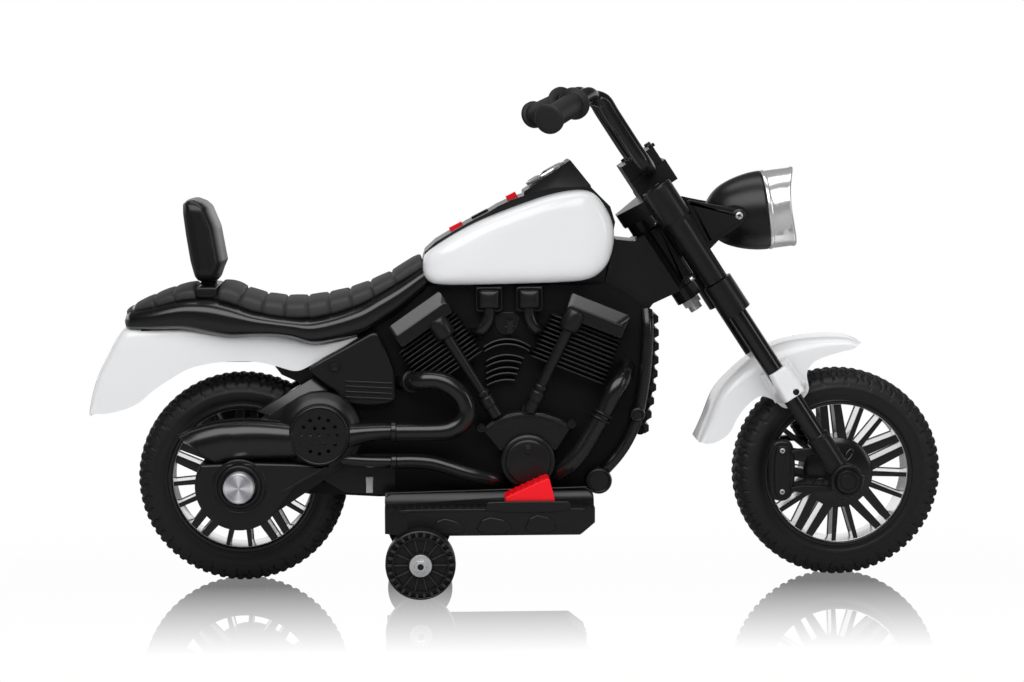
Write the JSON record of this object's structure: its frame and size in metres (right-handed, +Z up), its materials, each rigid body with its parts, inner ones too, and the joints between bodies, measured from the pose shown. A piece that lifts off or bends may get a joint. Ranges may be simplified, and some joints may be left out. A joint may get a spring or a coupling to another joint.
{
  "type": "kids ride-on motorcycle",
  "caption": "Battery ride-on motorcycle for a small child, chopper style, with a raked fork, a padded seat with a backrest, footboards and side training wheels.",
  "frame": {"origin": "on the ground, at the middle of the toy's length and width", "axes": "+X to the front, +Y to the rider's left, +Z up"},
  "size_m": [1.037, 0.4262, 0.6],
  "materials": {
    "satin_black": "satin moulded plastic",
    "gloss_black": "glossy moulded plastic",
    "seat_vinyl": "fine leather-like grain",
    "grip_black": "matt ribbed",
    "tyre_black": "matt with a polished sidewall",
    "white": "glossy moulded plastic",
    "red": "semi-gloss moulded plastic",
    "chrome_plastic": "bright plated plastic",
    "silver_plastic": "satin silver coated plastic",
    "steel": "zinc plated",
    "coated_tube": "gloss powder coat",
    "clear": "clear moulded plastic",
    "board_green": "sealed circuit box",
    "gear_white": "bare nylon"
  },
  "bodies": {
    "body": {"frame_shell_right": "satin_black", "frame_shell_left": "satin_black", "engine_panel_right": "satin_black", "engine_panel_left": "satin_black", "tank_panel_right": "white", "tank_panel_left": "white", "tank_console": "satin_black", "seat_base": "gloss_black", "seat_pad": "seat_vinyl", "backrest": "satin_black", "rear_fender": "white", "swingarm_cover_right": "satin_black", "swingarm_cover_left": "satin_black", "rear_hub_cap_right": "silver_plastic", "rear_hub_cap_left": "silver_plastic", "exhaust_cover_right": "satin_black", "exhaust_cover_left": "satin_black", "speaker_grille": "satin_black", "speaker": "satin_black", "rear_axle": "steel", "gearbox_plate": "satin_black", "motor": "steel", "battery": "satin_black", "control_box": "board_green", "footboard_right": "satin_black", "footboard_left": "satin_black", "stabiliser_bar": "steel", "radiator_grille": "satin_black", "steering_bush": "satin_black"},
    "steering": {"fork_cover_right": "satin_black", "fork_cover_left": "satin_black", "fork_leg_right": "satin_black", "fork_leg_left": "satin_black", "upper_yoke": "satin_black", "lower_yoke": "satin_black", "steering_stem": "steel", "handlebar": "coated_tube", "handlebar_clamp": "satin_black", "grip_right": "grip_black", "grip_left": "grip_black", "front_fender": "white", "front_axle": "steel", "headlight_bracket": "satin_black"},
    "headlight": {"headlight_shell": "satin_black", "headlight_bezel": "chrome_plastic", "headlight_lens": "clear"},
    "front_wheel": {"front_tyre": "tyre_black", "front_rim": "gloss_black"},
    "rear_wheel": {"rear_tyre": "tyre_black", "rear_rim": "gloss_black", "drive_gear": "gear_white"},
    "compound_gear": {"compound_gear": "gear_white"},
    "motor_pinion": {"motor_pinion": "steel"},
    "training_wheel_right": {"training_wheel_right": "satin_black"},
    "training_wheel_left": {"training_wheel_left": "satin_black"},
    "foot_pedal": {"foot_pedal": "red"},
    "start_button": {"start_button": "red"},
    "sound_button": {"sound_button": "satin_black"},
    "direction_switch": {"direction_switch": "red"},
    "power_switch": {"power_switch": "satin_black"}
  },
  "joints": [
    {"name": "steering_turn", "type": "hinge", "parent": "body", "child": "steering", "pos_m": [0.20126, 0, 0.35568], "axis": [-0.5446, 0, 0.8387], "range_deg": [-30, 30]},
    {"name": "headlight_tilt", "type": "hinge", "parent": "steering", "child": "headlight", "pos_m": [0.26503, 0, 0.44455], "axis": [0, 1, 0], "range_deg": [-10, 10]},
    {"name": "front_wheel_spin", "type": "hinge", "parent": "steering", "child": "front_wheel", "pos_m": [0.3915, 0, 0.127], "axis": [0, 1, 0], "continuous": true},
    {"name": "rear_wheel_spin", "type": "hinge", "parent": "body", "child": "rear_wheel", "pos_m": [-0.3365, 0, 0.127], "axis": [0, 1, 0], "continuous": true},
    {"name": "compound_gear_spin", "type": "hinge", "parent": "body", "child": "compound_gear", "pos_m": [-0.30595, 0, 0.15755], "axis": [0, 1, 0], "continuous": true},
    {"name": "motor_pinion_spin", "type": "hinge", "parent": "body", "child": "motor_pinion", "pos_m": [-0.28386, 0, 0.17964], "axis": [0, 1, 0], "continuous": true},
    {"name": "training_wheel_right_spin", "type": "hinge", "parent": "body", "child": "training_wheel_right", "pos_m": [-0.1215, -0.15, 0.0415], "axis": [0, 1, 0], "continuous": true},
    {"name": "training_wheel_left_spin", "type": "hinge", "parent": "body", "child": "training_wheel_left", "pos_m": [-0.1215, 0.15, 0.0415], "axis": [0, 1, 0], "continuous": true},
    {"name": "foot_pedal_press", "type": "hinge", "parent": "body", "child": "foot_pedal", "pos_m": [-0.0175, -0.107, 0.0962], "axis": [0, 1, 0], "range_deg": [0, 8], "stiffness_Nm_per_rad": 2, "springref_deg": -5.73},
    {"name": "start_button_press", "type": "slide", "parent": "body", "child": "start_button", "axis": [0.454, 0, -0.891], "range_m": [0, 0.0025], "stiffness_N_per_m": 400, "springref_m": -0.001},
    {"name": "sound_button_press", "type": "slide", "parent": "body", "child": "sound_button", "axis": [0.454, 0, -0.891], "range_m": [0, 0.002], "stiffness_N_per_m": 400, "springref_m": -0.001},
    {"name": "direction_switch_rock", "type": "hinge", "parent": "body", "child": "direction_switch", "pos_m": [-0.07405, 0, 0.42841], "axis": [0, 1, 0], "range_deg": [-8, 8]},
    {"name": "power_switch_rock", "type": "hinge", "parent": "body", "child": "power_switch", "pos_m": [-0.012, -0.065, 0.313], "axis": [1, 0, 0], "range_deg": [-14, 0]}
  ],
  "couplings": [
    {"joint": "compound_gear_spin", "follows": "rear_wheel_spin", "ratio": -3},
    {"joint": "motor_pinion_spin", "follows": "rear_wheel_spin", "ratio": 9}
  ]
}
